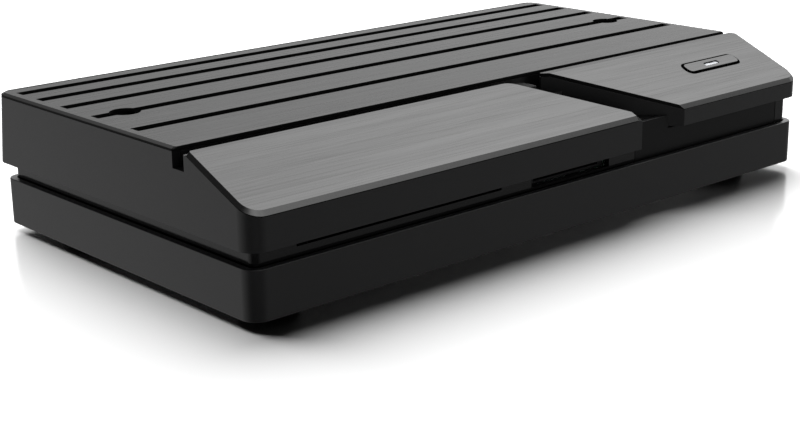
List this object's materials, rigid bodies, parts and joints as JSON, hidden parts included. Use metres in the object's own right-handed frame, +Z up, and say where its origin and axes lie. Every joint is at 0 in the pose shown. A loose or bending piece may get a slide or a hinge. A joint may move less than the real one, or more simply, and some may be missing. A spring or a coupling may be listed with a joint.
{
  "type": "satellite tv receiver",
  "caption": "Flat black satellite receiver: a tray on feet, a shadow gap and a shell with slotted deck, sloped front panel and a wing with a power button.",
  "frame": {"origin": "middle of the footprint, on the surface the feet stand on, with the antenna connectors counted in the footprint", "axes": "+X to the right seen from the front, +Y to the back with the sockets, +Z up"},
  "size_m": [0.2, 0.1146, 0.0373],
  "materials": {
    "moulded_black": "fine spark-eroded grain",
    "brushed_dark": "brushed along X, dark anodised",
    "smoked_window": "smoked, satin",
    "foot_rubber": "matt",
    "light_guide": "lit white",
    "board_green": "solder resist",
    "chip_black": "moulded epoxy",
    "bright_steel": "zinc plated",
    "nickel_plate": "nickel plated",
    "rear_paint": "black powder coat",
    "thermal_grey": "soft pad",
    "flat_cable": "smooth"
  },
  "bodies": {
    "case": {"base_tray": "moulded_black", "foot_front_left": "foot_rubber", "foot_front_right": "foot_rubber", "foot_rear_left": "foot_rubber", "foot_rear_right": "foot_rubber", "inner_frame": "moulded_black", "infrared_window": "smoked_window", "upper_shell": "moulded_black", "deck_plate": "brushed_dark", "left_front_panel": "brushed_dark", "wing_plate": "brushed_dark", "wing_housing": "moulded_black", "rear_panel": "rear_paint", "cover_screw_left": "bright_steel", "cover_screw_right": "bright_steel", "wing_screw_1": "bright_steel", "wing_screw_2": "bright_steel", "push_switch": "chip_black", "front_board": "board_green", "status_light": "light_guide", "main_board": "board_green", "board_screw_1": "bright_steel", "board_screw_2": "bright_steel", "board_screw_3": "bright_steel", "board_screw_4": "bright_steel", "processor": "chip_black", "thermal_pad": "thermal_grey", "heat_sink": "bright_steel", "memory_chip_1": "chip_black", "memory_chip_2": "chip_black", "flash_chip": "chip_black", "capacitor_1": "bright_steel", "capacitor_2": "bright_steel", "capacitor_3": "bright_steel", "tuner_can_1": "nickel_plate", "antenna_connector_1": "nickel_plate", "tuner_can_2": "nickel_plate", "antenna_connector_2": "nickel_plate", "video_socket_1": "nickel_plate", "video_socket_2": "nickel_plate", "network_socket": "nickel_plate", "data_socket": "nickel_plate", "optical_socket": "chip_black", "power_inlet": "chip_black", "power_inlet_pin": "nickel_plate", "card_reader": "chip_black", "memory_card_reader": "chip_black", "front_cable": "flat_cable", "cable_socket": "chip_black", "infrared_receiver": "chip_black"},
    "button": {"power_button": "brushed_dark", "button_light_bar": "light_guide"},
    "plunger": {"switch_plunger": "chip_black"},
    "shutter": {"optical_shutter": "chip_black"}
  },
  "joints": [
    {"name": "power_button_press", "type": "slide", "parent": "case", "child": "button", "axis": [0, 0.4019, -0.9157], "range_m": [0, 0.0005], "stiffness_N_per_m": 1600, "springref_m": -0.0006},
    {"name": "switch_plunger_press", "type": "slide", "parent": "case", "child": "plunger", "axis": [0, 0.4019, -0.9157], "range_m": [0, 0.0005]},
    {"name": "optical_shutter_swing", "type": "hinge", "parent": "case", "child": "shutter", "pos_m": [0.055, 0.0473, 0.017], "axis": [-1, 0, 0], "range_deg": [0, 80], "stiffness_Nm_per_rad": 0.0002, "springref_deg": -17.19}
  ],
  "couplings": [
    {"joint": "switch_plunger_press", "follows": "power_button_press", "ratio": 1}
  ]
}
